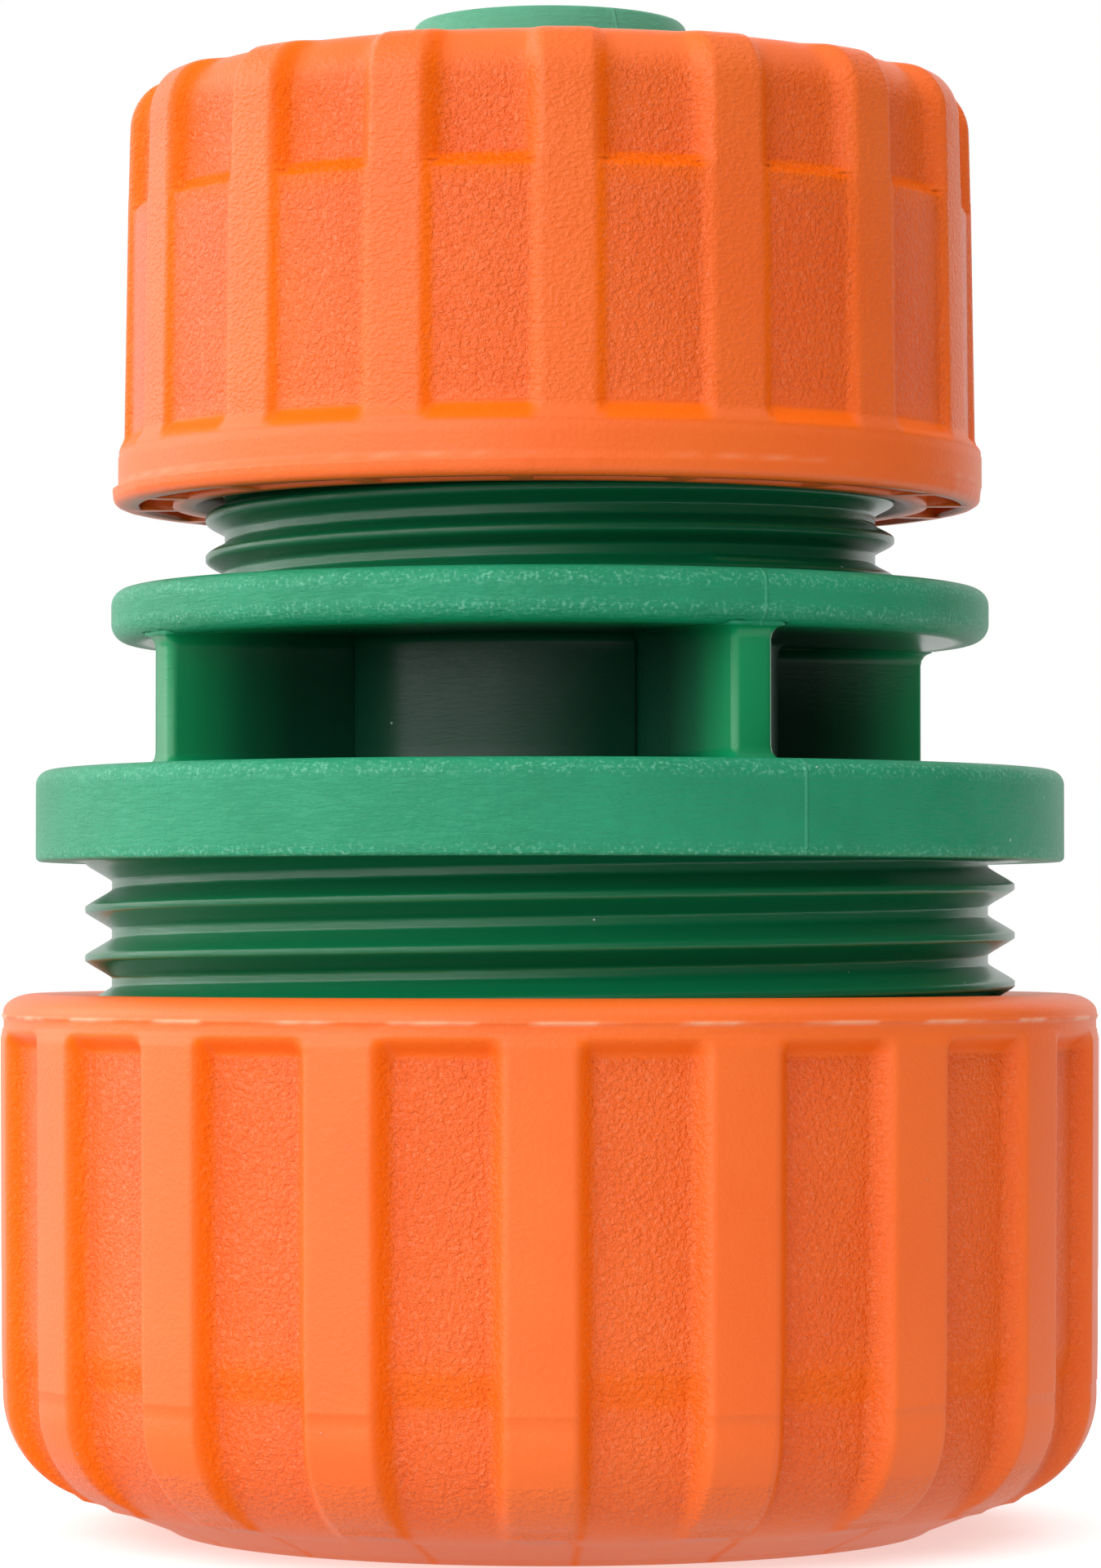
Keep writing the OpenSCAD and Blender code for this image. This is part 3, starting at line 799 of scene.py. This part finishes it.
# %% [markdown]
# The body is the same plastic in green. Its threads came off polished steel and shine, in their roots too.
# The flanges and the small tail's tip are what gets rubbed, so they are satin and full of fine scratches; their
# paler green is a painted sheen, and the tail's tip gets a paler painted sheen still.
# Between the flanges the free ends of the webs are painted lighter, as painted light, and the depths are painted
# darker, as painted shade.
# A thin line up the flanges is where the two slides of the mould closed.

# %% Green polypropylene
BODY_RELIEF_MM = 0.03
SCRATCH_MM = 0.9
EDGE_HIGHLIGHT_BREAK_MM = 0.14


def green_polypropylene():
    made, tree = new_material("moulded_polypropylene_green")
    place = add_node(tree, "ShaderNodeTexCoord").outputs["Object"]
    axes = add_node(tree, "ShaderNodeSeparateXYZ", None, {"Vector": place})
    x, y, z = (axes.outputs[name] for name in "XYZ")
    radius = maths(tree, "SQRT", plus(tree, times(tree, x, x), times(tree, y, y)), 0.0)
    # Zones with real rubbing and a painted sheen: the two flanges and the small tail's tip.
    rubbed_and_sheen = None
    zones = [
        (large_face - 0.05, large_flange_top + 0.05, 18.0), (small_flange_low - 0.05, small_face + 0.05, 15.6),
        (small_nut_top, tail_top + 1, 4.0),
    ]
    for low, high, inner in zones:
        above = maths(tree, "GREATER_THAN", z, low * MM)
        part = times(tree, above, maths(tree, "LESS_THAN", z, high * MM))
        part = times(tree, part, between(tree, radius, (inner - 0.4) * MM, inner * MM))
        rubbed_and_sheen = part if rubbed_and_sheen is None else plus(tree, rubbed_and_sheen, part)
    cloud = noise(tree, place, 5.0, 4.0, 0.6)
    pale = mix_colour(tree, between(tree, cloud, 0.35, 0.65), linear("#0C8C60"), linear("#14966A"))
    # Painted light and painted shade between the flanges: the webs' free ends lighter, the depths darker.
    above = maths(tree, "GREATER_THAN", z, (large_flange_top - 0.1) * MM)
    in_gap = times(tree, above, maths(tree, "LESS_THAN", z, (small_flange_low + 0.1) * MM))
    web_end_painted_light = times(tree, in_gap, between(tree, radius, 12.8 * MM, 15.2 * MM))
    gap_painted_shade = times(tree, in_gap, between(tree, radius, 14.0 * MM, 11.0 * MM))
    plain = mix_colour(tree, web_end_painted_light, linear("#05683F"), linear("#0C8C56"))
    plain = mix_colour(tree, gap_painted_shade, plain, linear("#033E2A"))
    # Painted sheen: the rubbed zones take the paler green instead of the plain one.
    colour = mix_colour(tree, rubbed_and_sheen, plain, pale)
    # Painted sheen on the tail's tip: above the small nut it is mixed further towards pale green.
    tip = maths(tree, "GREATER_THAN", z, (small_nut_top + 0.1) * MM)
    colour = mix_colour(tree, times(tree, tip, 0.3), colour, linear("#8CC8AC"))
    t = math.radians(PARTING_ANGLE)
    off = maths(tree, "SUBTRACT", times(tree, x, math.sin(t)), times(tree, y, math.cos(t)))
    front = plus(tree, times(tree, x, math.cos(t)), times(tree, y, math.sin(t)))
    ridge = between(tree, maths(tree, "ABSOLUTE", off, 0.0), 0.09 * MM, 0.03 * MM)
    ridge = times(tree, ridge, maths(tree, "GREATER_THAN", front, 0.0))
    ridge = times(tree, ridge, rubbed_and_sheen)
    colour = mix_colour(tree, times(tree, ridge, 0.22), colour, linear("#5FC79C"))
    nicks = specks(tree, place, 1.5, 0.07, 0.25)
    colour = mix_colour(tree, times(tree, nicks, 0.75), colour, linear("#C9E8DC"))
    # Painted highlight: a broken pale band along the rubbed flange edges, where their small bevels catch light.
    edge_painted_highlight = None
    for level in (large_face + 0.12, large_flange_top - 0.35, small_flange_low + 0.5, small_face - 0.42):
        away = maths(tree, "ABSOLUTE", maths(tree, "SUBTRACT", z, level * MM), 0.0)
        near = between(tree, away, 0.4 * MM, 0.1 * MM)
        edge_painted_highlight = near if edge_painted_highlight is None else maths(tree, "MAXIMUM", edge_painted_highlight, near)
    broken = between(tree, noise(tree, place, EDGE_HIGHLIGHT_BREAK_MM, 2.0, 0.6), 0.52, 0.7)
    edge_painted_highlight = times(tree, times(tree, edge_painted_highlight, rubbed_and_sheen), broken)
    colour = mix_colour(tree, times(tree, edge_painted_highlight, 0.4), colour, linear("#8FD9BC"))
    scratch = between(tree, noise(tree, place, SCRATCH_MM, 4.0, 0.75, (1.0, 1.0, 7.0)), 0.45, 0.75)
    fine = noise(tree, place, 0.2, 2.0)
    relief = times(tree, plus(tree, scratch, fine), maths(tree, "MULTIPLY_ADD", rubbed_and_sheen, 0.7, 0.1))
    relief = plus(tree, relief, times(tree, plus(tree, ridge, nicks), 1.2))
    settings = {"Strength": 1.0, "Distance": BODY_RELIEF_MM * MM}
    bump = add_node(tree, "ShaderNodeBump", settings, {"Height": relief})
    gloss = between(tree, rubbed_and_sheen, 0.0, 1.0, 0.27, 0.44)
    level = between(tree, gap_painted_shade, 0.0, 1.0, 0.5, 0.28)
    shader = add_node(
        tree, "ShaderNodeBsdfPrincipled", {"IOR": PLASTIC_IOR},
        {
            "Base Color": colour, "Roughness": gloss, "Normal": bump.outputs["Normal"],
            "Specular IOR Level": level,
        },
    )
    add_node(tree, "ShaderNodeOutputMaterial", None, {"Surface": shader.outputs[0]})
    return made


orange = orange_polypropylene()
green = green_polypropylene()
for piece in PIECES.values():
    piece.data.materials.clear()
    piece.data.materials.append(green if piece is body else orange)
print("materials:", orange.name, "and", green.name)

# %% [markdown]
# The picture looks as if it was taken on a light table in a white tent. White comes from below, behind
# and above, and it shows as a pale sheen along the outlines. A big softbox stands to the left. The tent is
# open and dark at the right front, where the rib sides and the gap between the flanges go deep in colour.
# The camera sees plain white, and mirror rays see that same white at the back. The roof and the even fill are
# weak in mirror rays only, as behind a polarising filter, because the photo shows little haze on the right.

# %% Table and light
TABLE_R = 0.17
TABLE_SIDES = 96
TABLE_WHITE = 0.5
TABLE_GLOW = 0.55
TABLE_GLOSS = 0.6
TENT = 1.1
TENT_PEAK = 3.0
TENT_TOP = 1.3
TENT_TOP_GLOSS = 0.12
TENT_FILL = 0.42
TENT_UNDER = 0.12
TENT_RING = [
    (-180, 0.9), (-140, 0.9), (-120, 2.3), (-70, 2.3), (-35, 2.2), (-8, 1.1),
    (10, 0.35), (26, 0.0), (122, 0.0), (142, 0.8), (180, 0.9),
]


def light_table():
    """Round white table top: it takes the shadow as paper does and glows softly by itself."""
    turn = np.linspace(0, TURN, TABLE_SIDES, endpoint=False)
    points = np.column_stack([TABLE_R * np.cos(turn), TABLE_R * np.sin(turn), np.zeros(TABLE_SIDES)])
    mesh = bpy.data.meshes.new("light_table")
    mesh.from_pydata(points.tolist(), [], [list(range(TABLE_SIDES))])
    table = bpy.data.objects.new("light_table", mesh)
    bpy.context.scene.collection.objects.link(table)
    made, tree = new_material("opal_acrylic")
    matt = {"Roughness": 0.9, "Specular IOR Level": 0.0, "Emission Color": (1, 1, 1, 1)}
    ray = add_node(tree, "ShaderNodeLightPath")
    lamp_and_painted_glow = between(tree, ray.outputs["Is Glossy Ray"], 0.0, 1.0, TABLE_GLOW, TABLE_GLOSS)
    lit = dict(matt, **{"Base Color": linear("#D8D8D8"), "Emission Strength": TABLE_WHITE})
    lit = add_node(tree, "ShaderNodeBsdfPrincipled", lit)
    dim = dict(matt, **{"Base Color": linear("#707070")})
    dim = add_node(tree, "ShaderNodeBsdfPrincipled", dim, {"Emission Strength": lamp_and_painted_glow})
    links = {0: ray.outputs["Is Camera Ray"], 1: dim.outputs[0], 2: lit.outputs[0]}
    mix = add_node(tree, "ShaderNodeMixShader", None, links)
    add_node(tree, "ShaderNodeOutputMaterial", None, {"Surface": mix.outputs[0]})
    mesh.materials.append(made)


def tent_world():
    """Light of the tent by direction: a ring of values round the horizon, an even roof, little from below."""
    world = bpy.data.worlds.new("tent")
    bpy.context.scene.world = world
    world.use_nodes = True
    tree = world.node_tree
    tree.nodes.clear()
    way = add_node(tree, "ShaderNodeTexCoord").outputs["Generated"]
    axes = add_node(tree, "ShaderNodeSeparateXYZ", None, {"Vector": way})
    x, y, z = (axes.outputs[name] for name in "XYZ")
    angle = maths(tree, "ARCTAN2", x, times(tree, y, -1.0))
    ring = add_node(tree, "ShaderNodeValToRGB", None, {"Fac": between(tree, angle, -math.pi, math.pi)})
    ring.color_ramp.interpolation = "EASE"
    while len(ring.color_ramp.elements) < len(TENT_RING):
        ring.color_ramp.elements.new(0.5)
    for i, (degrees, value) in enumerate(TENT_RING):
        ring.color_ramp.elements[i].position = (degrees + 180) / 360
        ring.color_ramp.elements[i].color = (value / TENT_PEAK,) * 3 + (1.0,)
    ray = add_node(tree, "ShaderNodeLightPath")
    mirrored = maths(tree, "MAXIMUM", ray.outputs["Is Glossy Ray"], ray.outputs["Is Transmission Ray"])
    roof = between(tree, mirrored, 0.0, 1.0, TENT_TOP, TENT_TOP_GLOSS)
    fill = between(tree, mirrored, 0.0, 1.0, TENT_FILL, 0.0)
    strength = maths(tree, "MULTIPLY_ADD", ring.outputs["Color"], TENT_PEAK, fill)
    for low, high, value in ((0.45, 0.8, roof), (0.0, -0.08, TENT_UNDER)):
        share = between(tree, z, low, high)
        kept = times(tree, strength, maths(tree, "SUBTRACT", 1.0, share))
        strength = plus(tree, kept, times(tree, share, value))
    strength = times(tree, strength, TENT)
    backdrop = times(tree, mirrored, between(tree, y, 0.7, 0.85))
    walls = add_node(tree, "ShaderNodeBackground", {"Color": (1, 1, 1, 1)}, {"Strength": strength})
    white = add_node(tree, "ShaderNodeBackground", {"Color": (1, 1, 1, 1), "Strength": 1.0})
    seen = maths(tree, "MAXIMUM", ray.outputs["Is Camera Ray"], backdrop)
    mix = add_node(tree, "ShaderNodeMixShader", None, {0: seen, 1: walls.outputs[0], 2: white.outputs[0]})
    add_node(tree, "ShaderNodeOutputWorld", None, {"Surface": mix.outputs[0]})


light_table()
tent_world()
bpy.context.scene.view_settings.view_transform = "Standard"
print("light from", len(TENT_RING), "directions of the tent and a glowing table")
